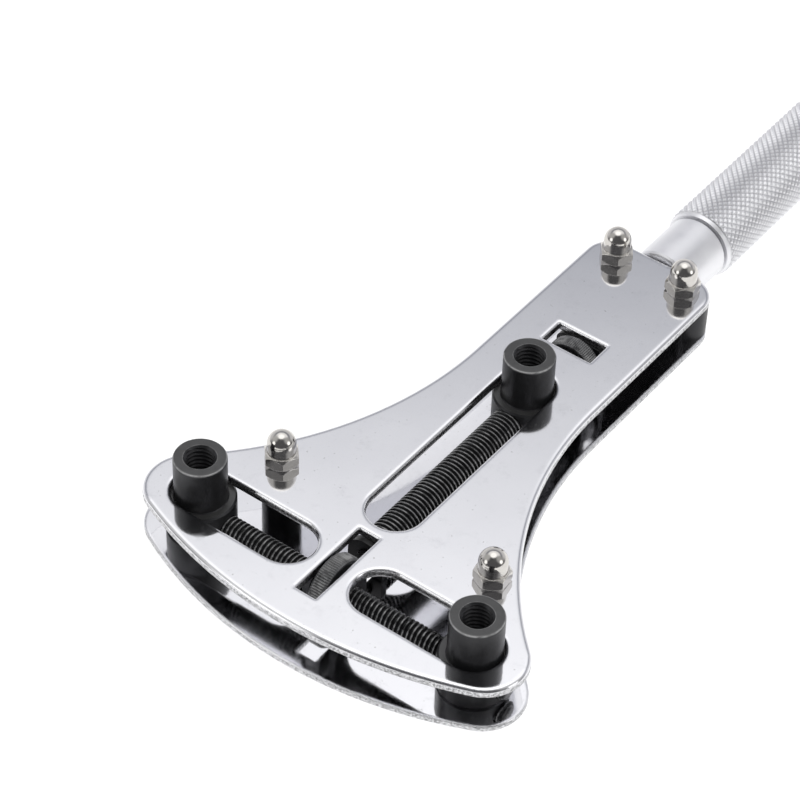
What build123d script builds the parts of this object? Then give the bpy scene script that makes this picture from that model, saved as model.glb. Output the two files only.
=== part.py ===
from build123d import *
import math
import os

# Case back opener: a handle carries two polished plates, and three threaded jaw posts slide
# between them. A screw with a left-hand and a right-hand half moves the two front posts
# together, and a second screw along the body moves the centre post.
# Millimetres, +Z up. The posts point up and the handle lies along +Y. The origin is the
# centre of the footprint, on the surface that the four bolt heads stand on.
# The jaws are modelled fully open.

# ---- driving dimensions ----------------------------------------------------------------
overall_length = 206.8
plate_thickness = 1.5
plate_gap = 6.8
bolt_head_height = 2.4

# plate outline, measured from the line through the two front posts
upper_nose_reach = 14.0
lower_nose_reach = 14.9
lobe_centre_x = 29.5
lobe_centre_back = 0.7
lobe_radius = 7.5
waist_half_width = 12.5
waist_start = 55.0
plate_rear = 93.9
rear_corner_radius = 5.0
outer_edge_round = 0.7
slot_edge_round = 0.45
sheared_edge_round = 0.15

# slots of the top plate
front_slot_half_width = 5.0
front_slot_inner_x = 9.4
front_slot_outer_x = 27.3
front_slot_forward = 0.25
centre_slot_half_width = 4.9
centre_slot_front = 16.0
centre_slot_rear = 52.6

# windows over and under the two thumb wheels
front_window_half_width = 1.96
front_window_front = -7.4
front_window_rear = 8.95
rear_window_half_width = 4.88
rear_window_front = 64.3
rear_window_rear = 69.3
lower_window_half_width = 1.6

# jaw posts
front_post_open_x = 27.5
centre_post_open = 52.8
post_radius = 4.45
post_rise = 7.0
post_body_radius = 5.9
post_body_clearance = 0.1
post_edge = 0.3
socket_radius = 2.3
socket_depth = 7.0
socket_chamfer = 0.45
drill_point_angle = 59.0

# lead screws
front_screw_radius = 2.1
front_screw_drop = 0.5
front_screw_half_length = 34.3
centre_screw_radius = 3.0
centre_screw_front = 10.2
centre_screw_rear = 71.4
centre_pilot_radius = 1.5
centre_pilot_front = 7.4
running_clearance = 0.05
screw_end_chamfer = 0.4

# thumb wheels
front_wheel_radius = 6.0
rear_wheel_radius = 5.0
rear_wheel_centre = 66.8
wheel_rim_width = 2.7
wheel_hub_width = 3.9
front_wheel_hub_radius = 2.75
rear_wheel_hub_radius = 3.3
wheel_rim_chamfer = 0.3
seat_clearance = 0.01

# bearing plates, staked into the bottom plate by two tenons each
bearing_thickness = 1.3
bearing_side_gap = 0.15
bearing_head_gap = 0.1
front_bearing_half_width = 4.0
front_bearing_corner_radius = 2.4
centre_front_bearing_start = 8.0
centre_front_bearing_half_width = 3.5
centre_front_bearing_corner_radius = 3.15
rear_bearing_half_width = 5.0
rear_bearing_corner_radius = 1.5
tenon_width = 2.0
tenon_fit = 0.05

# bolts, nuts and spacers
front_bolt_x = 21.25
front_bolt_back = 13.1
rear_bolt_x = 6.96
rear_bolt_back = 89.8
bolt_radius = 1.5
bolt_hole_radius = 1.6
bolt_into_nut = 3.0
bolt_head_radius = 2.9
bolt_head_round = 1.0
recess_length = 3.2
recess_width = 0.7
recess_depth = 1.2
nut_across_flats = 5.5
nut_hex_height = 2.3
nut_height = 6.3
nut_dome_radius = 2.45
nut_bevel_height = 0.5
nut_bevel_inset = 0.12
nut_bore_depth = 3.6
nut_turns = {"front_left": 12, "front_right": 36, "rear_left": 8, "rear_right": 38}
spacer_radius = 3.3

# handle
yoke_half_depth = 3.7
yoke_end_inset = 0.4
stud_radius = 2.5
yoke_bore_depth = 5.2
stud_in_yoke = 4.7
stud_in_handle = 11.0
handle_gap = 0.1
neck_radius = 6.0
neck_length = 12.0
neck_chamfer = 0.6
grip_radius = 6.9
groove_width = 0.5
groove_depth = 0.45
grip_lead_in = 0.8
grip_end_chamfer = 1.0

# ---- worked-out positions --------------------------------------------------------------
jaw_line_y = -overall_length / 2 + lower_nose_reach
handle_end_y = overall_length / 2
bottom_face_z = bolt_head_height
gap_floor_z = bottom_face_z + plate_thickness
gap_roof_z = gap_floor_z + plate_gap
top_face_z = gap_roof_z + plate_thickness
mid_gap_z = (gap_floor_z + gap_roof_z) / 2
front_screw_z = mid_gap_z - front_screw_drop
bearing_height = plate_gap - bearing_head_gap
front_bearing_inner_x = wheel_hub_width / 2 + bearing_side_gap
rear_wheel_y = jaw_line_y + rear_wheel_centre
handle_start_y = jaw_line_y + plate_rear + handle_gap

FROM_BASE = (Align.CENTER, Align.CENTER, Align.MIN)
CUT_MARGIN = 1.0

bolt_places = {
    "front_left": (-front_bolt_x, jaw_line_y + front_bolt_back),
    "front_right": (front_bolt_x, jaw_line_y + front_bolt_back),
    "rear_left": (-rear_bolt_x, jaw_line_y + rear_bolt_back),
    "rear_right": (rear_bolt_x, jaw_line_y + rear_bolt_back),
}


# ---- small shape helpers ---------------------------------------------------------------
def upright(radius, x, y, z_low, z_high):
    return Pos(x, y, z_low) * Cylinder(radius, z_high - z_low, align=FROM_BASE)


def rod_along_x(radius, x_low, x_high, y, z):
    return Pos(x_low, y, z) * Rot(0, 90, 0) * Cylinder(radius, x_high - x_low, align=FROM_BASE)


def rod_along_y(radius, y_low, y_high, x, z):
    return Pos(x, y_low, z) * Rot(-90, 0, 0) * Cylinder(radius, y_high - y_low, align=FROM_BASE)


def block(x_low, x_high, y_low, y_high, z_low, z_high):
    centre = Pos((x_low + x_high) / 2, (y_low + y_high) / 2, (z_low + z_high) / 2)
    return centre * Box(x_high - x_low, y_high - y_low, z_high - z_low)


def chamfered_ends(rod, axis, length):
    ends = rod.edges().filter_by(GeomType.CIRCLE).group_by(axis)
    return chamfer(ends[0] + ends[-1], length)


def point_towards(start, target, distance):
    return start + (target - start).normalized() * distance


# ---- plates ----------------------------------------------------------------------------
def plate_outline(nose_reach):
    """Nose arc, two round lobes, hollow flanks that run into a straight waist, square tail."""
    lobe = Vector(lobe_centre_x, jaw_line_y - lobe_centre_back)
    nose_depth = nose_reach - lobe_centre_back
    nose_radius = (lobe_centre_x**2 + nose_depth**2 - lobe_radius**2) / (2 * (nose_depth - lobe_radius))
    nose_centre = Vector(0, jaw_line_y - nose_reach + nose_radius)
    rise = waist_start + lobe_centre_back
    inset = lobe_centre_x - waist_half_width
    flank_radius = (inset**2 + rise**2 - lobe_radius**2) / (2 * (inset + lobe_radius))
    flank_centre = Vector(waist_half_width + flank_radius, jaw_line_y + waist_start)

    nose_tip = Vector(0, jaw_line_y - nose_reach)
    nose_end = point_towards(nose_centre, lobe, nose_radius)
    nose_middle = point_towards(nose_centre, (nose_tip + nose_end) / 2, nose_radius)
    lobe_side = lobe + Vector(lobe_radius, 0)
    flank_start = point_towards(lobe, flank_centre, lobe_radius)
    flank_end = Vector(waist_half_width, jaw_line_y + waist_start)
    flank_middle = point_towards(flank_centre, (flank_start + flank_end) / 2, flank_radius)
    tail_y = jaw_line_y + plate_rear
    corner_start = Vector(waist_half_width, tail_y - rear_corner_radius)
    corner_end = Vector(waist_half_width - rear_corner_radius, tail_y)
    corner_centre = Vector(waist_half_width - rear_corner_radius, tail_y - rear_corner_radius)
    diagonal = math.sqrt(0.5)
    corner_middle = corner_centre + Vector(diagonal, diagonal) * rear_corner_radius

    right_side = [
        ThreePointArc(nose_tip, nose_middle, nose_end),
        ThreePointArc(nose_end, lobe_side, flank_start),
        ThreePointArc(flank_start, flank_middle, flank_end),
        Line(flank_end, corner_start),
        ThreePointArc(corner_start, corner_middle, corner_end),
        Line(corner_end, Vector(0, tail_y)),
    ]
    left_side = [mirror(edge, about=Plane.YZ) for edge in right_side]
    return make_face(Curve() + right_side + left_side)


def blank_plate(nose_reach, z_low):
    return Pos(0, 0, z_low) * extrude(plate_outline(nose_reach), plate_thickness)


def slot_cutter(start, end, half_width, z_low):
    run = Line(start, end)
    angle = math.degrees(math.atan2(end[1] - start[1], end[0] - start[0]))
    middle = run @ 0.5
    outline = SlotCenterToCenter(run.length, 2 * half_width)
    cutter = extrude(outline, plate_thickness + 2 * CUT_MARGIN)
    return Pos(middle.X, middle.Y, z_low - CUT_MARGIN) * Rot(0, 0, angle) * cutter


def window_cutter(half_width, front, rear, z_low):
    y_front = jaw_line_y + front
    y_rear = jaw_line_y + rear
    z_high = z_low + plate_thickness + CUT_MARGIN
    return block(-half_width, half_width, y_front, y_rear, z_low - CUT_MARGIN, z_high)


def bolt_hole_cutters(z_low):
    z_high = z_low + plate_thickness + CUT_MARGIN
    holes = []
    for x, y in bolt_places.values():
        holes.append(upright(bolt_hole_radius, x, y, z_low - CUT_MARGIN, z_high))
    return holes


def round_outer_edge(plate, z, radius):
    """Rounds the plate's outline on the face at height z."""
    face = plate.faces().filter_by(Axis.Z).sort_by(lambda f: abs(f.center().Z - z))[0]
    return fillet(face.outer_wire().edges(), radius)


def round_inner_edges(plate, z, radius):
    """Rounds every opening in the face at height z."""
    face = plate.faces().filter_by(Axis.Z).sort_by(lambda f: abs(f.center().Z - z))[0]
    edges = ShapeList()
    for wire in face.inner_wires():
        edges += wire.edges()
    return fillet(edges, radius)


def top_plate():
    plate = blank_plate(upper_nose_reach, gap_roof_z)
    front_slot_y = jaw_line_y - front_slot_forward
    for side in (-1, 1):
        inner = (side * front_slot_inner_x, front_slot_y)
        outer = (side * front_slot_outer_x, front_slot_y)
        plate -= slot_cutter(inner, outer, front_slot_half_width, gap_roof_z)
    front = (0, jaw_line_y + centre_slot_front)
    rear = (0, jaw_line_y + centre_slot_rear)
    plate -= slot_cutter(front, rear, centre_slot_half_width, gap_roof_z)
    plate -= window_cutter(front_window_half_width, front_window_front, front_window_rear, gap_roof_z)
    plate -= window_cutter(rear_window_half_width, rear_window_front, rear_window_rear, gap_roof_z)
    plate = round_inner_edges(plate, top_face_z, slot_edge_round)
    plate = round_outer_edge(plate, top_face_z, outer_edge_round)
    plate = round_outer_edge(plate, gap_roof_z, sheared_edge_round)
    for hole in bolt_hole_cutters(gap_roof_z):
        plate -= hole
    return plate


def bottom_plate():
    """Slightly longer nose, wheel windows and the mortises of the bearing plates, but no slots."""
    plate = blank_plate(lower_nose_reach, bottom_face_z)
    plate -= window_cutter(lower_window_half_width, front_window_front, front_window_rear, bottom_face_z)
    lower_rear_front = rear_wheel_centre - lower_window_half_width
    lower_rear_end = rear_wheel_centre + lower_window_half_width
    plate -= window_cutter(rear_window_half_width, lower_rear_front, lower_rear_end, bottom_face_z)
    plate = round_inner_edges(plate, bottom_face_z, slot_edge_round)
    plate = round_outer_edge(plate, bottom_face_z, outer_edge_round)
    plate = round_outer_edge(plate, gap_floor_z, sheared_edge_round)
    for hole in bolt_hole_cutters(bottom_face_z):
        plate -= hole
    for mortise in mortise_cutters():
        plate -= mortise
    return plate


# ---- bearing plates --------------------------------------------------------------------
def tenon_centres(half_width):
    offset = half_width - tenon_width / 2
    return (-offset, offset)


def bearing_across_x(x_low, half_width, hole_radius, hole_z):
    """Bearing plate whose hole runs along X."""
    x_high = x_low + bearing_thickness
    z_high = gap_floor_z + bearing_height
    plate = block(x_low, x_high, jaw_line_y - half_width, jaw_line_y + half_width, gap_floor_z, z_high)
    corners = plate.edges().filter_by(Axis.X).group_by(Axis.Z)[-1]
    plate = fillet(corners, front_bearing_corner_radius)
    half_tenon = tenon_width / 2
    for centre in tenon_centres(half_width):
        y = jaw_line_y + centre
        plate += block(x_low, x_high, y - half_tenon, y + half_tenon, bottom_face_z, gap_floor_z)
    reach = CUT_MARGIN
    return plate - rod_along_x(hole_radius, x_low - reach, x_high + reach, jaw_line_y, hole_z)


def bearing_across_y(y_low, half_width, corner_radius, hole_radius):
    """Bearing plate whose hole runs along Y."""
    y_high = y_low + bearing_thickness
    z_high = gap_floor_z + bearing_height
    plate = block(-half_width, half_width, y_low, y_high, gap_floor_z, z_high)
    corners = plate.edges().filter_by(Axis.Y).group_by(Axis.Z)[-1]
    plate = fillet(corners, corner_radius)
    half_tenon = tenon_width / 2
    for x in tenon_centres(half_width):
        plate += block(x - half_tenon, x + half_tenon, y_low, y_high, bottom_face_z, gap_floor_z)
    reach = CUT_MARGIN
    return plate - rod_along_y(hole_radius, y_low - reach, y_high + reach, 0, mid_gap_z)


def centre_bearing_starts():
    """Front, middle and rear bearing of the centre screw: where each plate starts along Y."""
    hub_reach = wheel_hub_width / 2 + bearing_side_gap
    return (
        jaw_line_y + centre_front_bearing_start,
        rear_wheel_y - hub_reach - bearing_thickness,
        rear_wheel_y + hub_reach,
    )


def mortise_cutters():
    half_tenon = tenon_width / 2 + tenon_fit
    z_low = bottom_face_z - CUT_MARGIN
    z_high = gap_floor_z + CUT_MARGIN
    cutters = []
    for x_low in (front_bearing_inner_x, -front_bearing_inner_x - bearing_thickness):
        for centre in tenon_centres(front_bearing_half_width):
            y = jaw_line_y + centre
            x_from = x_low - tenon_fit
            x_to = x_low + bearing_thickness + tenon_fit
            cutters.append(block(x_from, x_to, y - half_tenon, y + half_tenon, z_low, z_high))
    half_widths = (centre_front_bearing_half_width, rear_bearing_half_width, rear_bearing_half_width)
    for y_low, half_width in zip(centre_bearing_starts(), half_widths):
        for x in tenon_centres(half_width):
            y_from = y_low - tenon_fit
            y_to = y_low + bearing_thickness + tenon_fit
            cutters.append(block(x - half_tenon, x + half_tenon, y_from, y_to, z_low, z_high))
    return cutters


def front_screw_bearing(side):
    x_low = front_bearing_inner_x if side > 0 else -front_bearing_inner_x - bearing_thickness
    hole = front_screw_radius + running_clearance
    return bearing_across_x(x_low, front_bearing_half_width, hole, front_screw_z)


def centre_screw_bearings():
    front, middle, rear = centre_bearing_starts()
    pilot_hole = centre_pilot_radius + running_clearance
    screw_hole = centre_screw_radius + running_clearance
    front_size = (centre_front_bearing_half_width, centre_front_bearing_corner_radius)
    rear_size = (rear_bearing_half_width, rear_bearing_corner_radius)
    return {
        "centre_screw_front_bearing": bearing_across_y(front, *front_size, pilot_hole),
        "centre_screw_middle_bearing": bearing_across_y(middle, *rear_size, screw_hole),
        "centre_screw_rear_bearing": bearing_across_y(rear, *rear_size, screw_hole),
    }


# ---- lead screws and thumb wheels ------------------------------------------------------
def front_lead_screw():
    rod = rod_along_x(front_screw_radius, -front_screw_half_length, front_screw_half_length,
                      jaw_line_y, front_screw_z)
    return chamfered_ends(rod, Axis.X, screw_end_chamfer)


def centre_lead_screw():
    thread_front = jaw_line_y + centre_screw_front
    rear_end = jaw_line_y + centre_screw_rear
    rod = rod_along_y(centre_screw_radius, thread_front, rear_end, 0, mid_gap_z)
    rod = chamfered_ends(rod, Axis.Y, screw_end_chamfer)
    pilot_front = jaw_line_y + centre_pilot_front
    pilot = rod_along_y(centre_pilot_radius, pilot_front, thread_front, 0, mid_gap_z)
    return rod + pilot


def thumb_wheel(rim_radius, hub_radius, bore_radius):
    """Wheel on the Z axis, centred on the origin: a rim with a hub that stands proud each side."""
    rim = Cylinder(rim_radius, wheel_rim_width)
    rim = chamfer(rim.edges().filter_by(GeomType.CIRCLE), wheel_rim_chamfer)
    hub = Cylinder(hub_radius, wheel_hub_width)
    return rim + hub - Cylinder(bore_radius + seat_clearance, wheel_hub_width + CUT_MARGIN)


def front_thumb_wheel():
    wheel = thumb_wheel(front_wheel_radius, front_wheel_hub_radius, front_screw_radius)
    return Pos(0, jaw_line_y, front_screw_z) * Rot(0, 90, 0) * wheel


def rear_thumb_wheel():
    wheel = thumb_wheel(rear_wheel_radius, rear_wheel_hub_radius, centre_screw_radius)
    return Pos(0, rear_wheel_y, mid_gap_z) * Rot(-90, 0, 0) * wheel


# ---- jaw posts -------------------------------------------------------------------------
def jaw_post(x, y):
    """Turned post: a wide body that slides between the plates, and a narrow socket above."""
    body_low = gap_floor_z + post_body_clearance
    body_high = gap_roof_z - post_body_clearance
    post_top = top_face_z + post_rise
    body = upright(post_body_radius, x, y, body_low, body_high)
    body = chamfer(body.edges().filter_by(GeomType.CIRCLE), post_edge)
    neck = upright(post_radius, x, y, mid_gap_z, post_top)
    neck = chamfer(neck.edges().filter_by(GeomType.CIRCLE).group_by(Axis.Z)[-1], post_edge)
    socket_floor = post_top - socket_depth
    socket = upright(socket_radius, x, y, socket_floor, post_top + CUT_MARGIN)
    point_depth = socket_radius / math.tan(math.radians(drill_point_angle))
    point = Pos(x, y, socket_floor - point_depth) * Cone(0, socket_radius, point_depth, align=FROM_BASE)
    mouth_low = post_top - socket_chamfer
    mouth_radius = socket_radius + socket_chamfer
    mouth = Pos(x, y, mouth_low) * Cone(socket_radius, mouth_radius, socket_chamfer, align=FROM_BASE)
    return body + neck - socket - point - mouth


def front_jaw_post(side):
    x = side * front_post_open_x
    reach = post_body_radius + CUT_MARGIN
    hole_radius = front_screw_radius + running_clearance
    screw_hole = rod_along_x(hole_radius, x - reach, x + reach, jaw_line_y, front_screw_z)
    return jaw_post(x, jaw_line_y) - screw_hole


def centre_jaw_post():
    y = jaw_line_y + centre_post_open
    reach = post_body_radius + CUT_MARGIN
    hole_radius = centre_screw_radius + running_clearance
    screw_hole = rod_along_y(hole_radius, y - reach, y + reach, 0, mid_gap_z)
    return jaw_post(0, y) - screw_hole


# ---- bolts, nuts and spacers -----------------------------------------------------------
def frame_bolt(x, y):
    """Pan-head bolt that stands on its head, with a cross recess."""
    head = upright(bolt_head_radius, x, y, 0, bolt_head_height)
    head = fillet(head.edges().filter_by(GeomType.CIRCLE).group_by(Axis.Z)[0], bolt_head_round)
    shank = upright(bolt_radius, x, y, bolt_head_height / 2, top_face_z + bolt_into_nut)
    bolt = head + shank
    for along_x, along_y in ((recess_length, recess_width), (recess_width, recess_length)):
        left = x - along_x / 2
        front = y - along_y / 2
        bolt -= block(left, left + along_x, front, front + along_y, -CUT_MARGIN, recess_depth)
    return bolt


def acorn_nut(x, y, turn):
    """Domed cap nut that stands on the top plate, turned by an angle about its axis."""
    flat_radius = nut_across_flats / 2
    corner_radius = nut_across_flats / math.sqrt(3)
    hexagon = extrude(RegularPolygon(flat_radius, 6, major_radius=False), nut_hex_height)
    bevelled_outline = Polyline(
        (0, 0),
        (flat_radius - nut_bevel_inset, 0),
        (corner_radius, nut_bevel_height),
        (corner_radius, nut_hex_height - nut_bevel_height),
        (flat_radius - nut_bevel_inset, nut_hex_height),
        (0, nut_hex_height),
        close=True,
    )
    bevelled_disc = revolve(Plane.XZ * make_face(bevelled_outline), Axis.Z)
    dome_centre = nut_height - nut_dome_radius
    dome = Cylinder(nut_dome_radius, dome_centre, align=FROM_BASE)
    dome += Pos(0, 0, dome_centre) * Sphere(nut_dome_radius)
    nut = (hexagon & bevelled_disc) + dome
    bore_radius = bolt_radius + seat_clearance
    nut -= upright(bore_radius, 0, 0, -CUT_MARGIN, nut_bore_depth)
    return Pos(x, y, top_face_z) * Rot(0, 0, turn) * nut


def spacer(x, y):
    tube = upright(spacer_radius, x, y, gap_floor_z, gap_roof_z)
    return tube - upright(bolt_hole_radius, x, y, gap_floor_z - CUT_MARGIN, gap_roof_z + CUT_MARGIN)


# ---- handle ----------------------------------------------------------------------------
def handle_yoke():
    """Bar between the plates that the rear bolts clamp, threaded for the handle's stud."""
    y = jaw_line_y + rear_bolt_back
    end_centre_x = waist_half_width - yoke_end_inset - yoke_half_depth
    outline = SlotCenterToCenter(2 * end_centre_x, 2 * yoke_half_depth)
    bar = Pos(0, y, gap_floor_z) * extrude(outline, plate_gap)
    for x in (-rear_bolt_x, rear_bolt_x):
        bar -= upright(bolt_hole_radius, x, y, gap_floor_z - CUT_MARGIN, gap_roof_z + CUT_MARGIN)
    hole_start = handle_start_y - handle_gap - yoke_bore_depth
    return bar - rod_along_y(stud_radius + seat_clearance, hole_start, handle_start_y, 0, mid_gap_z)


def handle_stud():
    start = handle_start_y - handle_gap - stud_in_yoke
    rod = rod_along_y(stud_radius, start, handle_start_y + stud_in_handle, 0, mid_gap_z)
    return chamfered_ends(rod, Axis.Y, screw_end_chamfer)


def handle_grip():
    """Smooth neck, a turned groove, then the thick grip. Knurling is cut into its outside."""
    neck_end = handle_start_y + neck_length
    groove_end = neck_end + groove_width
    grip_start = groove_end + grip_lead_in
    profile = Polyline(
        (0, handle_start_y),
        (neck_radius - neck_chamfer, handle_start_y),
        (neck_radius, handle_start_y + neck_chamfer),
        (neck_radius, neck_end),
        (neck_radius - groove_depth, neck_end),
        (neck_radius - groove_depth, groove_end),
        (neck_radius + groove_depth, groove_end),
        (grip_radius, grip_start),
        (grip_radius, handle_end_y - grip_end_chamfer),
        (grip_radius - grip_end_chamfer, handle_end_y),
        (0, handle_end_y),
        close=True,
    )
    handle = Pos(0, 0, mid_gap_z) * revolve(make_face(profile), Axis.Y)
    hole_radius = stud_radius + seat_clearance
    hole_start = handle_start_y - CUT_MARGIN
    hole_end = handle_start_y + stud_in_handle + CUT_MARGIN
    return handle - rod_along_y(hole_radius, hole_start, hole_end, 0, mid_gap_z)


# ---- the whole opener ------------------------------------------------------------------
def all_pieces():
    pieces = {
        "top_plate": top_plate(),
        "bottom_plate": bottom_plate(),
        "front_screw_left_bearing": front_screw_bearing(-1),
        "front_screw_right_bearing": front_screw_bearing(1),
        "front_lead_screw": front_lead_screw(),
        "front_thumb_wheel": front_thumb_wheel(),
        "centre_lead_screw": centre_lead_screw(),
        "rear_thumb_wheel": rear_thumb_wheel(),
        "left_jaw_post": front_jaw_post(-1),
        "right_jaw_post": front_jaw_post(1),
        "centre_jaw_post": centre_jaw_post(),
        "handle_yoke": handle_yoke(),
        "handle_stud": handle_stud(),
        "handle_grip": handle_grip(),
    }
    pieces.update(centre_screw_bearings())
    for place, (x, y) in bolt_places.items():
        pieces[place + "_bolt"] = frame_bolt(x, y)
        pieces[place + "_acorn_nut"] = acorn_nut(x, y, nut_turns[place])
        if place.startswith("front"):
            pieces[place + "_spacer"] = spacer(x, y)
    return pieces


os.makedirs("parts", exist_ok=True)
for name, piece in all_pieces().items():
    export_step(piece, "parts/" + name + ".step")
    size = piece.bounding_box().size
    print(f"{name:30s} {len(piece.solids())} solid(s)  {size.X:7.2f} {size.Y:7.2f} {size.Z:7.2f}")
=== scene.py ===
import math

import bpy
import numpy as np
from mathutils import Matrix, Vector


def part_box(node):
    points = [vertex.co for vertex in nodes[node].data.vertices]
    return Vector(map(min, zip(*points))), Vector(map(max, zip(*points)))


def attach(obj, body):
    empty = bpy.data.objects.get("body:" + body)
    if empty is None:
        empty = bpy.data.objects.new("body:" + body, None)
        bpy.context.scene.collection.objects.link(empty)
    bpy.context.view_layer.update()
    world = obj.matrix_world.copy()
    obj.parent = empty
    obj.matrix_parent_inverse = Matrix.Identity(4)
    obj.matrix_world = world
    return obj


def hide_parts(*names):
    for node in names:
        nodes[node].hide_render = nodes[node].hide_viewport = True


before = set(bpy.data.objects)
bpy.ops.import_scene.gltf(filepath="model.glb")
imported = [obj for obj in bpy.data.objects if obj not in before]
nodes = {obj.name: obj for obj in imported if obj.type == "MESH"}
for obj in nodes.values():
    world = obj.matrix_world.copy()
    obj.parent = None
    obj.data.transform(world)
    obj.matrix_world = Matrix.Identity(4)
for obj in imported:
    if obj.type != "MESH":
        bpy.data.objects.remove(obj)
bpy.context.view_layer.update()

MM = 0.001
FULL_TURN = 2 * math.pi

# ---- camera ----------------------------------------------------------------------------
CAMERA_PLACE = Vector((193.55, -342.48, 352.86)) * MM
CAMERA_HEADING = math.radians(35.63)
CAMERA_DIP = math.radians(43.62)
CAMERA_ROLL = math.radians(2.065)
CAMERA_LENS = 132.74
SENSOR_WIDTH = 36.0


def make_camera():
    """Looks down along the handle from the front right, a little tilted to the left."""
    across = math.cos(CAMERA_DIP)
    left = math.sin(CAMERA_HEADING) * across
    ahead = math.cos(CAMERA_HEADING) * across
    forward = Vector((-left, ahead, -math.sin(CAMERA_DIP)))
    data = bpy.data.cameras.new("camera")
    data.lens = CAMERA_LENS
    data.sensor_width = SENSOR_WIDTH
    data.clip_start = 0.01
    data.clip_end = 10.0
    camera = bpy.data.objects.new("camera", data)
    bpy.context.scene.collection.objects.link(camera)
    level = forward.to_track_quat("-Z", "Y").to_matrix().to_4x4()
    roll = Matrix.Rotation(CAMERA_ROLL, 4, "Z")
    camera.matrix_world = Matrix.Translation(CAMERA_PLACE) @ level @ roll
    bpy.context.scene.camera = camera


# ---- node helpers ----------------------------------------------------------------------
class Nodes:
    """Short calls that add nodes to a tree and join them."""

    def __init__(self, tree):
        self.tree = tree
        self.tree.nodes.clear()

    def add(self, kind, **settings):
        node = self.tree.nodes.new(kind)
        for key, value in settings.items():
            setattr(node, key, value)
        return node

    def join(self, source, target):
        self.tree.links.new(source, target)

    def feed(self, socket, value):
        if isinstance(value, bpy.types.NodeSocket):
            self.join(value, socket)
        else:
            socket.default_value = value

    def math(self, operation, a, b=0.0):
        node = self.add("ShaderNodeMath", operation=operation)
        self.feed(node.inputs[0], a)
        self.feed(node.inputs[1], b)
        return node.outputs[0]

    def smooth_range(self, value, low, high, to_low=0.0, to_high=1.0):
        node = self.add("ShaderNodeMapRange", interpolation_type="SMOOTHSTEP")
        self.feed(node.inputs["Value"], value)
        node.inputs["From Min"].default_value = low
        node.inputs["From Max"].default_value = high
        node.inputs["To Min"].default_value = to_low
        node.inputs["To Max"].default_value = to_high
        return node.outputs["Result"]

    def mix_color(self, factor, a, b):
        node = self.add("ShaderNodeMix", data_type="RGBA")
        self.feed(node.inputs[0], factor)
        self.feed(node.inputs[6], a)
        self.feed(node.inputs[7], b)
        return node.outputs[2]

    def object_coordinates(self, stretch=(1, 1, 1)):
        coordinates = self.add("ShaderNodeTexCoord").outputs["Object"]
        mapping = self.add("ShaderNodeMapping")
        mapping.inputs["Scale"].default_value = stretch
        self.join(coordinates, mapping.inputs["Vector"])
        return mapping.outputs["Vector"]

    def noise(self, scale, detail=3.0, roughness=0.55, stretch=(1, 1, 1)):
        """Noise whose scale is in features per metre, from 0 to 1."""
        node = self.add("ShaderNodeTexNoise")
        self.join(self.object_coordinates(stretch), node.inputs["Vector"])
        node.inputs["Scale"].default_value = scale
        node.inputs["Detail"].default_value = detail
        node.inputs["Roughness"].default_value = roughness
        return node.outputs["Fac"]

    def upward(self):
        """How far a surface faces up or down: 1 on a level face, 0 on an upright one."""
        normal = self.add("ShaderNodeNewGeometry").outputs["Normal"]
        parts = self.add("ShaderNodeSeparateXYZ")
        self.join(normal, parts.inputs[0])
        return self.math("ABSOLUTE", parts.outputs["Z"])

    def attribute(self, name):
        return self.add("ShaderNodeAttribute", attribute_name=name).outputs["Fac"]

    def rolled_edges(self, radius):
        """Surface normal that leans outwards within a distance of an edge."""
        node = self.add("ShaderNodeBevel", samples=8)
        node.inputs["Radius"].default_value = radius
        return node.outputs["Normal"]

    def bump(self, height, depth, strength=1.0, normal=None):
        node = self.add("ShaderNodeBump")
        node.inputs["Strength"].default_value = strength
        node.inputs["Distance"].default_value = depth
        self.join(height, node.inputs["Height"])
        if normal is not None:
            self.join(normal, node.inputs["Normal"])
        return node.outputs["Normal"]


def grey(value, blue=0.0):
    return (value, value, value * (1 + blue), 1.0)


def new_material(name):
    material = bpy.data.materials.new(name)
    material.use_nodes = True
    made = Nodes(material.node_tree)
    output = made.add("ShaderNodeOutputMaterial")
    shader = made.add("ShaderNodeBsdfPrincipled")
    made.join(shader.outputs["BSDF"], output.inputs["Surface"])
    return material, made, shader


# ---- materials -------------------------------------------------------------------------
def polished_chrome():
    """Mirror plating over pressed steel: soft waves, scuffs and specks, and rough sheared edges."""
    material, made, shader = new_material("polished_chrome")
    cloud = made.noise(70, 4)
    scuff = made.smooth_range(made.noise(260, 6, 0.7), 0.52, 0.74)
    wipe = made.noise(500, 5, 0.6, (1.0, 0.12, 1.0))
    speck = made.smooth_range(made.noise(1900, 2), 0.70, 0.76)
    grit = made.noise(2600, 3, 0.7)
    sheared = made.smooth_range(made.upward(), 0.42, 0.16)
    rough = made.smooth_range(cloud, 0.35, 0.7, 0.04, 0.075)
    rough = made.math("ADD", rough, made.math("MULTIPLY", wipe, 0.03))
    rough = made.math("ADD", rough, made.math("MULTIPLY", scuff, 0.07))
    rough = made.math("ADD", rough, made.math("MULTIPLY", speck, 0.12))
    rough = made.math("ADD", rough, made.math("MULTIPLY", sheared, 0.22))
    tint = made.mix_color(cloud, grey(0.80, 0.03), grey(0.87, 0.02))
    tint = made.mix_color(made.math("MULTIPLY", scuff, 0.5), tint, grey(0.74, 0.03))
    tint = made.mix_color(speck, tint, grey(0.58))
    edge = made.mix_color(made.smooth_range(grit, 0.35, 0.62), grey(0.22, 0.03), grey(0.72, 0.02))
    made.join(made.mix_color(sheared, tint, edge), shader.inputs["Base Color"])
    made.join(rough, shader.inputs["Roughness"])
    shader.inputs["Metallic"].default_value = 1.0
    waves = made.bump(made.noise(55, 2), 0.00006, 0.3, made.rolled_edges(0.0008))
    waves = made.bump(made.math("MULTIPLY", grit, sheared), 0.00008, 0.8, waves)
    made.join(made.bump(wipe, 0.000004, 0.25, waves), shader.inputs["Normal"])
    return material


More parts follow.
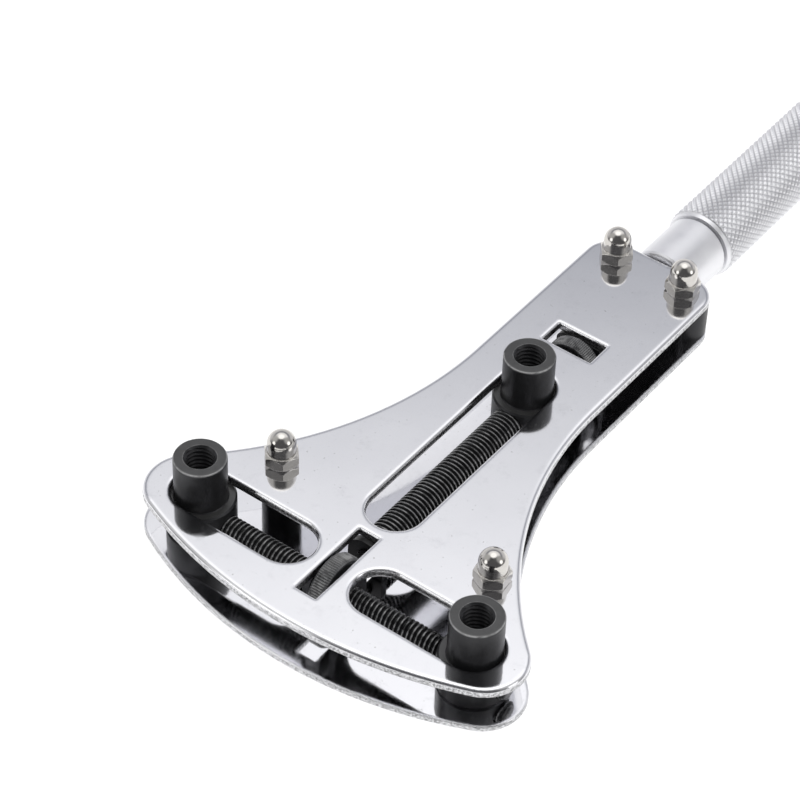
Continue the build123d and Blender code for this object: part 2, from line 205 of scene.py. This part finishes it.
def black_oxide(name, tone, roughness, level_sheen_gain=1.0):
    """Blackened steel: a mottled satin skin that is rubbed to bare steel where wear is high, with level
    faces given a lighter skin as painted sheen.
    """
    material, made, shader = new_material(name)
    mottle = made.noise(700, 4)
    grain = made.noise(5200, 2)
    skin = made.mix_color(mottle, grey(tone * 0.75, 0.05), grey(tone * 1.35, 0.07))
    dust = made.smooth_range(grain, 0.66, 0.80, 0.0, 0.35)
    skin = made.mix_color(dust, skin, grey(tone * 4, 0.02))
    # Painted sheen: level faces, such as the post tops, get a lighter skin that stands in for the light
    # falling on them.
    level = made.smooth_range(made.upward(), 0.8, 0.98)
    painted_level_sheen = made.mix_color(mottle, grey(tone * level_sheen_gain), grey(tone * level_sheen_gain * 1.5))
    skin = made.mix_color(level, skin, painted_level_sheen)
    worn = made.math("MULTIPLY", made.attribute("wear"), made.smooth_range(mottle, 0.25, 0.6))
    made.join(made.mix_color(worn, skin, grey(0.42)), shader.inputs["Base Color"])
    rough = made.smooth_range(mottle, 0.3, 0.7, roughness * 0.88, roughness * 1.14)
    made.join(rough, shader.inputs["Roughness"])
    shader.inputs["Metallic"].default_value = 0.75
    made.join(made.bump(grain, 0.00001, 0.4), shader.inputs["Normal"])
    return material


def bright_nickel():
    """Bright plating on turned and hexagonal fasteners, with fine turning lines."""
    material, made, shader = new_material("bright_nickel")
    cloud = made.noise(900, 3)
    lines = made.noise(2600, 2, 0.5, (1.0, 1.0, 6.0))
    tint = made.mix_color(cloud, (0.54, 0.52, 0.49, 1), (0.68, 0.66, 0.63, 1))
    made.join(tint, shader.inputs["Base Color"])
    made.join(made.smooth_range(cloud, 0.3, 0.7, 0.10, 0.18), shader.inputs["Roughness"])
    shader.inputs["Metallic"].default_value = 1.0
    made.join(made.bump(lines, 0.000006, 0.35, made.rolled_edges(0.00016)), shader.inputs["Normal"])
    return material


def satin_aluminium():
    """Bare turned aluminium: bright, with rings left by the lathe, a cloudy surface, and painted shade in
    the knurl's valleys and the groove.
    """
    material, made, shader = new_material("satin_aluminium")
    cloud = made.noise(420, 4)
    rings = made.noise(2600, 3, 0.6, (0.12, 1.0, 0.12))
    skin = made.mix_color(cloud, grey(0.80, 0.03), grey(0.91, 0.02))
    # Painted shade: the valley attribute darkens the knurl's valleys and the groove towards grey.
    valley = made.smooth_range(made.attribute("valley"), 0.3, 1.0, 0.0, 0.55)
    made.join(made.mix_color(valley, skin, grey(0.42, 0.05)), shader.inputs["Base Color"])
    rough = made.smooth_range(cloud, 0.3, 0.7, 0.40, 0.50)
    made.join(rough, shader.inputs["Roughness"])
    shader.inputs["Metallic"].default_value = 1.0
    made.join(made.bump(rings, 0.00002, 0.5), shader.inputs["Normal"])
    return material


def floor_paper():
    """White sweep, bright enough that shadows on it stay faint."""
    material, made, shader = new_material("white_sweep")
    shader.inputs["Base Color"].default_value = grey(0.22)
    shader.inputs["Roughness"].default_value = 0.9
    shader.inputs["Emission Color"].default_value = grey(1.0)
    shader.inputs["Emission Strength"].default_value = 0.90
    return material


# ---- mesh helpers ----------------------------------------------------------------------
def link_mesh(name, points, faces, smooth_angle=30.0):
    """Mesh object from points in millimetres, smooth except across edges sharper than the angle."""
    mesh = bpy.data.meshes.new(name)
    mesh.from_pydata((np.asarray(points, float) * MM).tolist(), [], faces)
    mesh.validate()
    for polygon in mesh.polygons:
        polygon.use_smooth = True
    mesh.set_sharp_from_angle(angle=math.radians(smooth_angle))
    piece = bpy.data.objects.new(name, mesh)
    bpy.context.scene.collection.objects.link(piece)
    return piece


def ring_faces(ring_count, segments, loop=False):
    """Quads between neighbouring rings of points, and flat caps unless the rings form a loop."""
    faces = []
    spans = ring_count if loop else ring_count - 1
    for i in range(spans):
        low = i * segments
        high = ((i + 1) % ring_count) * segments
        for j in range(segments):
            k = (j + 1) % segments
            faces.append((low + j, low + k, high + k, high + j))
    if not loop:
        faces.append(tuple(reversed(range(segments))))
        last = (ring_count - 1) * segments
        faces.append(tuple(last + j for j in range(segments)))
    return faces


def place_rings(radius, along, centre, axis):
    """Rings of radius[i, j] at height along[i] on an axis. Returns points, one row each."""
    count, segments = radius.shape
    turn = np.arange(segments) * FULL_TURN / segments
    first = radius * np.cos(turn)
    second = radius * np.sin(turn)
    height = np.repeat(np.asarray(along, float)[:, None], segments, axis=1)
    order = {"X": (height, first, second), "Y": (second, height, first), "Z": (first, second, height)}[axis]
    points = np.stack(order, axis=-1).reshape(-1, 3)
    return points + np.asarray(centre, float)


def turned(name, profile, centre, axis, segments):
    """A turned piece. The profile is a list of (radius, height along the axis)."""
    radius = np.repeat(np.array([p[0] for p in profile], float)[:, None], segments, axis=1)
    along = [p[1] for p in profile]
    points = place_rings(radius, along, centre, axis)
    return link_mesh(name, points, ring_faces(len(profile), segments))


def node_box(name):
    low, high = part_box(name)
    return np.array(low) / MM, np.array(high) / MM


def finish_piece(piece, body, node, material):
    piece.data.materials.clear()
    piece.data.materials.append(material)
    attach(piece, body)
    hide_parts(node)
    return piece


def paint(piece, name, values):
    """Stores a number from 0 to 1 for each vertex, which the material reads by its name."""
    attribute = piece.data.attributes.new(name, "FLOAT", "POINT")
    attribute.data.foreach_set("value", values)


def paint_wear(piece, rule):
    """Stores how worn each vertex is, worked out from its place in millimetres."""
    paint(piece, "wear", [rule(vertex.co / MM) for vertex in piece.data.vertices])


def reach_from_axis(place, centre, axis_index):
    """Distance of a place from the line through the centre along one of the three axes."""
    first, second = [i for i in range(3) if i != axis_index]
    return math.hypot(place[first] - centre[first], place[second] - centre[second])


# ---- threads ---------------------------------------------------------------------------
THREAD_PITCH = 0.85
RINGS_PER_PITCH = 12
ROD_BEVEL = 0.4
THREAD_DEPTH = 0.42
THREAD_ROOT_FLAT = 0.16
THREAD_FLANK = 0.58
THREAD_SHARP_ANGLE = 60.0
CREST_BAND = 0.02
CREST_WEAR = 0.5
FRONT_SCREW_SEGMENTS = 48
CENTRE_SCREW_SEGMENTS = 56
PILOT_LENGTH = 2.8
PILOT_RADIUS = 1.5
PILOT_BEVEL = 0.3
PILOT_BURIED = 0.5
PILOT_SEGMENTS = 40


def thread_wave(phase):
    """Height of a worn screw thread, 1 on its crest and 0 in its root, over one pitch."""
    distance = np.abs((phase % 1.0) - 0.5) * 2
    return np.clip((distance - THREAD_ROOT_FLAT) / THREAD_FLANK, 0.0, 1.0)


def thread_radius(along, segments, root, crest, hand):
    turn = np.arange(segments) / segments
    phase = along[:, None] / THREAD_PITCH - hand * turn[None, :]
    return root + (crest - root) * thread_wave(phase)


def threaded_rod(name, centre, axis, half, root, crest, two_hands, plain, segments):
    """Rod with a helical thread, plain in one stretch, with bevelled ends.

    With two hands the thread runs left-handed on one half and right-handed on the other."""
    count = int(round(2 * half / THREAD_PITCH * RINGS_PER_PITCH))
    along = np.linspace(-half, half, count + 1)
    hand = np.where(along < 0, -1, 1) if two_hands else np.ones(along.shape)
    radius = thread_radius(along, segments, root, crest, hand[:, None])
    plain_low, plain_high = plain
    radius[(along > plain_low) & (along < plain_high)] = crest
    bevel = (half - np.abs(along))[:, None]
    radius = np.minimum(radius, crest - ROD_BEVEL + bevel)
    points = place_rings(radius, along, centre, axis)
    return link_mesh(name, points, ring_faces(len(along), segments), THREAD_SHARP_ANGLE)


def rod_wear(axis_index, centre, crest):
    """Crests are rubbed brighter than roots."""
    def rule(place):
        worn = reach_from_axis(place, centre, axis_index) > crest - CREST_BAND
        return CREST_WEAR if worn else 0.0

    return rule


def make_front_screw(material):
    low, high = node_box("front_lead_screw")
    centre = (low + high) / 2
    half = (high[0] - low[0]) / 2
    crest = (high[2] - low[2]) / 2
    root = crest - THREAD_DEPTH
    bearing_edge = node_box("front_screw_right_bearing")[1][0]
    plain = (-bearing_edge, bearing_edge)
    segments = FRONT_SCREW_SEGMENTS
    piece = threaded_rod("front_screw_thread", centre, "X", half, root, crest, True, plain, segments)
    paint_wear(piece, rod_wear(0, centre, crest))
    finish_piece(piece, "front_screw", "front_lead_screw", material)


def make_centre_screw(material):
    low, high = node_box("centre_lead_screw")
    crest = (high[2] - low[2]) / 2
    root = crest - THREAD_DEPTH
    start = low[1] + PILOT_LENGTH
    middle = (start + high[1]) / 2
    centre = np.array([0.0, middle, (low[2] + high[2]) / 2])
    half = (high[1] - start) / 2
    plain_low = node_box("centre_screw_middle_bearing")[0][1] - middle
    plain_high = node_box("centre_screw_rear_bearing")[1][1] - middle
    plain = (plain_low, plain_high)
    segments = CENTRE_SCREW_SEGMENTS
    piece = threaded_rod("centre_screw_thread", centre, "Y", half, root, crest, False, plain, segments)
    paint_wear(piece, rod_wear(1, centre, crest))
    finish_piece(piece, "centre_screw", "centre_lead_screw", material)

    buried = PILOT_LENGTH + PILOT_BURIED
    pilot_profile = [(PILOT_RADIUS - PILOT_BEVEL, 0), (PILOT_RADIUS, PILOT_BEVEL), (PILOT_RADIUS, buried)]
    pilot_start = (0, low[1], centre[2])
    pilot = turned("centre_screw_pilot", pilot_profile, pilot_start, "Y", PILOT_SEGMENTS)
    pilot.data.materials.append(material)
    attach(pilot, "centre_screw")


# ---- thumb wheels ----------------------------------------------------------------------
WHEEL_TEETH = 84
TOOTH_SAMPLES = 6
TOOTH_DEPTH = 0.16
RIM_WIDTH = 2.7
RIM_CHAMFER = 0.35
RIM_ROUND = 0.05
RIM_LAND = 0.85
DISH_DEPTH = 0.25
DISH_INNER_STEP = 0.2
HUB_BEVEL = 0.15
FRONT_HUB_RADIUS = 2.75
REAR_HUB_RADIUS = 3.3
FRONT_SCREW_RADIUS = 2.1
CENTRE_SCREW_RADIUS = 3.0
WHEEL_SHARP_ANGLE = 28.0
TOOTH_BAND = 0.06
TOOTH_WEAR = 0.55
LAND_BAND = 0.6
LAND_WEAR = 0.25


def wheel_side(rim, hub_radius, hub_half, bore):
    """One side of a wheel, from its bore out to its rim, as (radius, height, toothed or not)."""
    half = RIM_WIDTH / 2
    dish_outer = rim - RIM_LAND - DISH_DEPTH
    return [
        (bore, hub_half, False),
        (hub_radius - HUB_BEVEL, hub_half, False),
        (hub_radius, hub_half - HUB_BEVEL, False),
        (hub_radius, half - DISH_DEPTH, False),
        (hub_radius + DISH_INNER_STEP, half - DISH_DEPTH, False),
        (dish_outer, half - DISH_DEPTH, False),
        (rim - RIM_LAND, half, False),
        (rim - RIM_CHAMFER, half, False),
        (rim - RIM_ROUND, half - RIM_CHAMFER, True),
        (rim, half - RIM_CHAMFER - 2 * RIM_ROUND, True),
    ]


def make_wheel(name, node, body, axis, bore, hub_radius, material):
    """Disc with a straight-knurled rim and a hub that stands proud of both faces."""
    low, high = node_box(node)
    centre = (low + high) / 2
    index = "XYZ".index(axis)
    hub_half = (high[index] - low[index]) / 2
    rim = (high[2] - low[2]) / 2
    side = wheel_side(rim, hub_radius, hub_half, bore)
    profile = side + [(r, -h, tooth) for r, h, tooth in reversed(side)]
    segments = WHEEL_TEETH * TOOTH_SAMPLES
    step = np.arange(segments) % TOOTH_SAMPLES / TOOTH_SAMPLES
    valley = TOOTH_DEPTH * (1 - np.abs(step - 0.5) * 2)
    radius = np.array([[r] * segments for r, h, tooth in profile], float)
    toothed = np.array([tooth for r, h, tooth in profile], bool)
    radius[toothed] -= valley
    along = [h for r, h, tooth in profile]
    points = place_rings(radius, along, centre, axis)
    piece = link_mesh(name, points, ring_faces(len(profile), segments, loop=True), WHEEL_SHARP_ANGLE)

    def rule(place):
        reach = reach_from_axis(place, centre, index)
        if reach > rim - TOOTH_BAND:
            return TOOTH_WEAR
        return LAND_WEAR if reach > rim - LAND_BAND else 0.0

    paint_wear(piece, rule)
    finish_piece(piece, body, node, material)


# ---- jaw posts -------------------------------------------------------------------------
SOCKET_CREST = 2.3
SOCKET_ROOT = 2.65
SOCKET_MOUTH = 2.78
SOCKET_DEPTH = 7.0
SOCKET_LIP = 0.08
SOCKET_RINGS_PER_PITCH = 10
DRILL_POINT_DEPTH = 1.3
DRILL_POINT_RADIUS = 0.2
POST_RADIUS = 4.45
POST_EDGE = 0.3
POST_EDGE_ROUND = 0.09
POST_EDGE_LEAD = 0.25
POST_RING_GAP = 0.15
POST_GAP_CLEARANCE = 0.1
POST_SEGMENTS = 96
POST_SHARP_ANGLE = 35.0
POST_HOLE_CLEARANCE = 0.05
HOLE_SEGMENTS = 56
DRILL_OVERRUN = 4
POST_EDGE_RUB = 0.1
WEAR_BAND = 0.06
EDGE_BAND = 0.12
EDGE_WEAR = 0.8
MOUTH_WEAR = 0.35


def post_profile(low, high, body_radius, body_top):
    """Outline of a post from the middle of its foot up and over its top to the socket's mouth."""
    return [
        (body_radius - POST_EDGE, low),
        (body_radius, low + POST_EDGE),
        (body_radius, body_top - POST_EDGE),
        (body_radius - POST_EDGE, body_top),
        (POST_RADIUS + POST_RING_GAP, body_top),
        (POST_RADIUS, body_top + POST_RING_GAP),
        (POST_RADIUS, high - POST_EDGE - POST_EDGE_LEAD),
        (POST_RADIUS, high - POST_EDGE),
        (POST_RADIUS - POST_EDGE_ROUND, high - POST_EDGE_ROUND),
        (POST_RADIUS - POST_EDGE, high),
        (POST_RADIUS - POST_EDGE - POST_RING_GAP, high),
        (SOCKET_MOUTH + POST_RING_GAP, high),
        (SOCKET_MOUTH, high),
    ]


def make_post(node, body, hole_axis, screw_radius, hole_z, material):
    low, high = node_box(node)
    centre = np.array([(low[0] + high[0]) / 2, (low[1] + high[1]) / 2, 0.0])
    body_radius = (high[0] - low[0]) / 2
    gap_top = node_box("front_left_spacer")[1][2]
    outside = post_profile(low[2], high[2], body_radius, gap_top - POST_GAP_CLEARANCE)
    segments = POST_SEGMENTS
    rings = [np.full(segments, r) for r, z in outside]
    heights = [z for r, z in outside]
    mouth = high[2] - (SOCKET_MOUTH - SOCKET_CREST)
    floor = high[2] - SOCKET_DEPTH
    count = int((high[2] - floor) / THREAD_PITCH * SOCKET_RINGS_PER_PITCH)
    down = np.linspace(high[2] - SOCKET_LIP, floor, count)
    cut = thread_radius(down, segments, SOCKET_ROOT, SOCKET_CREST, 1)
    cone = SOCKET_CREST + (down - mouth)[:, None]
    cut = np.maximum(cut, cone)
    rings.extend(list(cut))
    heights.extend(down.tolist())
    rings.append(np.full(segments, DRILL_POINT_RADIUS))
    heights.append(floor - DRILL_POINT_DEPTH)
    points = place_rings(np.array(rings), heights, centre, "Z")
    faces = ring_faces(len(rings), segments)
    piece = link_mesh(node + "_turned", points, faces, POST_SHARP_ANGLE)
    hole_centre = (centre[0], centre[1], hole_z)
    hole_radius = screw_radius + POST_HOLE_CLEARANCE
    drill(piece, hole_axis, hole_radius, hole_centre, body_radius * 2 + DRILL_OVERRUN)

    def rule(place):
        reach = math.hypot(place[0] - centre[0], place[1] - centre[1])
        near_top = place[2] > high[2] - EDGE_BAND
        on_edge = abs(reach - POST_RADIUS + POST_EDGE_RUB) < WEAR_BAND and near_top
        on_mouth = abs(reach - SOCKET_MOUTH) < WEAR_BAND and near_top
        return EDGE_WEAR if on_edge else (MOUTH_WEAR if on_mouth else 0.0)

    paint_wear(piece, rule)
    finish_piece(piece, body, node, material)


def drill(piece, axis, radius, centre, length):
    """Cuts a round cross hole through a piece."""
    half = length / 2
    cutter = turned("cutter", [(radius, -half), (radius, half)], centre, axis, HOLE_SEGMENTS)
    modifier = piece.modifiers.new("hole", "BOOLEAN")
    modifier.operation = "DIFFERENCE"
    modifier.solver = "EXACT"
    modifier.object = cutter
    graph = bpy.context.evaluated_depsgraph_get()
    cut = bpy.data.meshes.new_from_object(piece.evaluated_get(graph))
    piece.modifiers.clear()
    piece.data = cut
    bpy.data.objects.remove(cutter)
    cut.set_sharp_from_angle(angle=math.radians(POST_SHARP_ANGLE))


# ---- handle ----------------------------------------------------------------------------
DIAMONDS_AROUND = 35
DIAMOND_SAMPLES = 6
DIAMOND_LENGTH = 1.5
KNURL_DEPTH = 0.27
KNURL_FLAT = 0.2
NECK_RADIUS = 6.0
NECK_LENGTH = 12.0
NECK_CHAMFER = 0.6
NECK_CHAMFER_MIDDLE = (0.25, 0.15)
NECK_FACE_DISH = 0.05
EDGE_ROUND = 0.12
STUD_HOLE_RADIUS = 2.6
GROOVE_WIDTH = 0.5
GROOVE_DEPTH = 0.45
GRIP_LEAD = 1.3
GRIP_LEAD_BEVEL = 0.1
KNURL_LEAD_LENGTH = 0.5
KNURL_LEAD_DEPTH = KNURL_DEPTH * 0.8
GRIP_SHOULDER = 0.3
GRIP_END_LENGTH = 1.0
GRIP_END_BEVEL = 0.95
GRIP_END_CENTRE = 0.6
HANDLE_SHARP_ANGLE = 18.0
GROOVE_RINGS = slice(6, 8)


def knurl_depth(around, along):
    """Depth below the crest of diamond knurling, at sample steps around and along the grip."""
    period = DIAMOND_SAMPLES
    rising = np.abs(((around + along) % period) - period / 2) / (period / 2)
    falling = np.abs(((around - along) % period) - period / 2) / (period / 2)
    valley = np.maximum(rising, falling)
    return KNURL_DEPTH * np.clip((valley - KNURL_FLAT) / (1 - KNURL_FLAT), 0.0, 1.0)


def neck_outline(start, grip, grip_start):
    """Neck and groove of the handle, from the stud's hole to the grip, as (radius, place along Y)."""
    end = start + NECK_LENGTH
    groove_floor = NECK_RADIUS - GROOVE_DEPTH
    groove_end = end + GROOVE_WIDTH
    return [
        (STUD_HOLE_RADIUS, start + NECK_FACE_DISH),
        (NECK_RADIUS - NECK_CHAMFER, start),
        (NECK_RADIUS - NECK_CHAMFER_MIDDLE[0], start + NECK_CHAMFER_MIDDLE[1]),
        (NECK_RADIUS, start + NECK_CHAMFER),
        (NECK_RADIUS, end - EDGE_ROUND),
        (NECK_RADIUS - EDGE_ROUND, end),
        (groove_floor, end + EDGE_ROUND / 2),
        (groove_floor, groove_end - 0.05),
        (NECK_RADIUS - 0.1, groove_end),
        (NECK_RADIUS + GRIP_SHOULDER, groove_end),
        (grip - KNURL_DEPTH - GRIP_LEAD_BEVEL, grip_start - GRIP_LEAD_BEVEL),
    ]


def make_handle(material):
    low, high = node_box("handle_grip")
    grip = (high[2] - low[2]) / 2
    centre = (0.0, 0.0, (low[2] + high[2]) / 2)
    start = low[1]
    end = high[1]
    grip_start = start + NECK_LENGTH + GRIP_LEAD
    segments = DIAMONDS_AROUND * DIAMOND_SAMPLES
    neck = neck_outline(start, grip, grip_start)
    knurl_end = end - GRIP_END_LENGTH
    repeats = int(round((knurl_end - grip_start) / DIAMOND_LENGTH))
    steps = np.arange(repeats * DIAMOND_SAMPLES + 1)
    along = grip_start + steps * (knurl_end - grip_start) / steps[-1]
    depth = knurl_depth(np.arange(segments)[None, :], steps[:, None])
    lead_in = np.clip((along - grip_start) / KNURL_LEAD_LENGTH, 0.0, 1.0)[:, None]
    knurl = grip - np.maximum(depth, (1 - lead_in) * KNURL_LEAD_DEPTH)
    tail = [
        (grip - KNURL_DEPTH, knurl_end + 0.15),
        (grip - GRIP_END_BEVEL, end - EDGE_ROUND),
        (grip - GRIP_END_BEVEL - 0.25, end),
        (GRIP_END_CENTRE, end),
    ]
    rings = [np.full(segments, r) for r, y in neck] + list(knurl) + [np.full(segments, r) for r, y in tail]
    heights = [y for r, y in neck] + along.tolist() + [y for r, y in tail]
    points = place_rings(np.array(rings), heights, centre, "Y")
    first = len(neck)
    last = first + len(steps) - 1
    faces = []
    for i, j, quad in numbered_quads(len(rings), segments):
        if first <= i < last:
            faces.extend(split_quad(quad, i - first, j))
        else:
            faces.append(quad)
    faces.append(tuple(reversed(range(segments))))
    base = (len(rings) - 1) * segments
    faces.append(tuple(base + j for j in range(segments)))
    piece = link_mesh("handle_knurled", points, faces, HANDLE_SHARP_ANGLE)
    # Painted shade: marks the groove and the knurl's valleys, which the aluminium material darkens.
    valley = np.zeros((len(rings), segments))
    valley[GROOVE_RINGS] = 1.0
    valley[first:last + 1] = (grip - knurl) / KNURL_DEPTH
    paint(piece, "valley", valley.ravel().tolist())
    finish_piece(piece, "frame", "handle_grip", material)


def numbered_quads(ring_count, segments):
    for i in range(ring_count - 1):
        for j in range(segments):
            k = (j + 1) % segments
            low = i * segments
            high = low + segments
            yield i, j, (low + j, low + k, high + k, high + j)


def split_quad(quad, step, around):
    """Two triangles whose shared edge runs along the knurling's groove or ridge."""
    a, b, c, d = quad
    if (around + step + 1) % DIAMOND_SAMPLES in (0, DIAMOND_SAMPLES // 2):
        return [(a, b, d), (b, c, d)]
    return [(a, b, c), (a, c, d)]


# ---- studio ----------------------------------------------------------------------------
FLOOR_HALF = 3.0
KEY_TOWARDS = (0.5, -0.2, 0.9)
KEY_DISTANCE = 0.9
KEY_SIZE = (0.5, 0.5)
KEY_POWER = 6.0
WALL_LOW_ANGLE = 38.0
WALL_HIGH_ANGLE = 50.5
WALL_LOW_COLOR = (0.29, 0.30, 0.34, 1)
WALL_HIGH_COLOR = (1.22, 1.22, 1.24, 1)
HORIZON_START_ANGLE = 36.0
HORIZON_FULL_ANGLE = 20.0
FAR_SIDE = (-0.55, 0.80, 0.25)
# Round panels, as (towards, full within degrees, gone beyond degrees, brightness).
PANELS = [
    ((0.68, 0.24, 0.66), 8, 34, 0.50),
    ((-0.62, -0.42, 0.66), 8, 34, 0.60),
    ((0.87, 0.21, 0.37), 9, 15, 2.0),
    ((-0.51, -0.83, 0.34), 9, 15, 1.8),
    ((-0.10, 0.10, 0.99), 14, 26, 1.7),
]


def rise(degrees):
    """Height, from -1 to 1, of a direction that points so many degrees above the horizon."""
    return math.sin(math.radians(degrees))


def add_softbox(name, towards, distance, size, power, target=(0, -0.06, 0.01)):
    """Area light that faces the opener."""
    data = bpy.data.lights.new(name, "AREA")
    data.shape = "RECTANGLE"
    data.size = size[0]
    data.size_y = size[1]
    data.energy = power
    light = bpy.data.objects.new(name, data)
    bpy.context.scene.collection.objects.link(light)
    away = Vector(towards).normalized()
    light.location = Vector(target) + away * distance
    light.rotation_mode = "QUATERNION"
    light.rotation_quaternion = (-away).to_track_quat("-Z", "Y")
    return light


def make_world():
    """Grey studio that is dark behind the camera and bright high up on the far side."""
    world = bpy.data.worlds.new("studio")
    bpy.context.scene.world = world
    world.use_nodes = True
    made = Nodes(world.node_tree)
    output = made.add("ShaderNodeOutputWorld")
    background = made.add("ShaderNodeBackground")
    direction = made.add("ShaderNodeTexCoord").outputs["Generated"]

    def closeness(towards):
        dot = made.add("ShaderNodeVectorMath", operation="DOT_PRODUCT")
        made.join(direction, dot.inputs[0])
        dot.inputs[1].default_value = Vector(towards).normalized()
        return dot.outputs["Value"]

    def cone(towards, inner, outer):
        edge = math.cos(math.radians(outer))
        core = math.cos(math.radians(inner))
        return made.smooth_range(closeness(towards), edge, core)

    height = made.add("ShaderNodeSeparateXYZ")
    made.join(direction, height.inputs[0])
    up = height.outputs["Z"]
    wall = made.add("ShaderNodeMapRange")
    made.join(up, wall.inputs["Value"])
    wall.inputs["From Min"].default_value = rise(WALL_LOW_ANGLE)
    wall.inputs["From Max"].default_value = rise(WALL_HIGH_ANGLE)
    far_wall = made.mix_color(wall.outputs["Result"], WALL_LOW_COLOR, WALL_HIGH_COLOR)
    low_down = made.smooth_range(up, rise(HORIZON_START_ANGLE), rise(HORIZON_FULL_ANGLE))
    far_wall = made.mix_color(low_down, far_wall, grey(0.80, 0.03))
    far_side = made.smooth_range(closeness(FAR_SIDE), -0.10, 0.50)
    color = made.mix_color(far_side, grey(0.11, 0.05), far_wall)
    for towards, inner, outer, brightness in PANELS:
        color = made.mix_color(cone(towards, inner, outer), color, grey(brightness))
    made.join(color, background.inputs["Color"])
    made.join(background.outputs[0], output.inputs["Surface"])


def make_studio():
    mesh = bpy.data.meshes.new("floor")
    corners = [(x * FLOOR_HALF, y * FLOOR_HALF, 0) for x, y in ((-1, -1), (1, -1), (1, 1), (-1, 1))]
    mesh.from_pydata(corners, [], [(0, 1, 2, 3)])
    floor = bpy.data.objects.new("floor", mesh)
    bpy.context.scene.collection.objects.link(floor)
    floor.data.materials.append(floor_paper())
    make_world()
    key = add_softbox("key", KEY_TOWARDS, KEY_DISTANCE, KEY_SIZE, KEY_POWER)
    key.visible_glossy = False
    bpy.context.scene.view_settings.view_transform = "Standard"


# ---- the whole opener ------------------------------------------------------------------
def dress_cad_nodes(material, names):
    """Gives CAD nodes that already have the right shape their detailed finish."""
    for name in names:
        mesh = nodes[name].data
        mesh.materials.clear()
        mesh.materials.append(material)


make_camera()
make_studio()

chrome = polished_chrome()
post_black = black_oxide("post_black_oxide", 0.035, 0.36, level_sheen_gain=1.9)
screw_black = black_oxide("screw_black_oxide", 0.018, 0.27)
wheel_black = black_oxide("wheel_black_oxide", 0.060, 0.42)
spacer_black = black_oxide("spacer_black_oxide", 0.030, 0.38)
nickel = bright_nickel()
aluminium = satin_aluminium()

dress_cad_nodes(chrome, ["top_plate", "bottom_plate"])
dress_cad_nodes(spacer_black, ["front_left_spacer", "front_right_spacer", "handle_yoke"])
dress_cad_nodes(spacer_black, [name for name in nodes if name.endswith("_bearing")])
dress_cad_nodes(nickel, [name for name in nodes if name.endswith("_bolt")])
dress_cad_nodes(nickel, [name for name in nodes if name.endswith("_nut")])
dress_cad_nodes(nickel, ["handle_stud"])

make_front_screw(screw_black)
make_centre_screw(screw_black)
make_wheel(
    "front_wheel_knurled", "front_thumb_wheel", "front_screw",
    "X", FRONT_SCREW_RADIUS, FRONT_HUB_RADIUS, wheel_black,
)
make_wheel(
    "rear_wheel_knurled", "rear_thumb_wheel", "centre_screw",
    "Y", CENTRE_SCREW_RADIUS, REAR_HUB_RADIUS, wheel_black,
)
front_screw_z = float(sum(node_box("front_lead_screw"))[2] / 2)
centre_screw_z = float(sum(node_box("centre_lead_screw"))[2] / 2)
make_post("left_jaw_post", "left_post", "X", FRONT_SCREW_RADIUS, front_screw_z, post_black)
make_post("right_jaw_post", "right_post", "X", FRONT_SCREW_RADIUS, front_screw_z, post_black)
make_post("centre_jaw_post", "centre_post", "Y", CENTRE_SCREW_RADIUS, centre_screw_z, post_black)
make_handle(aluminium)
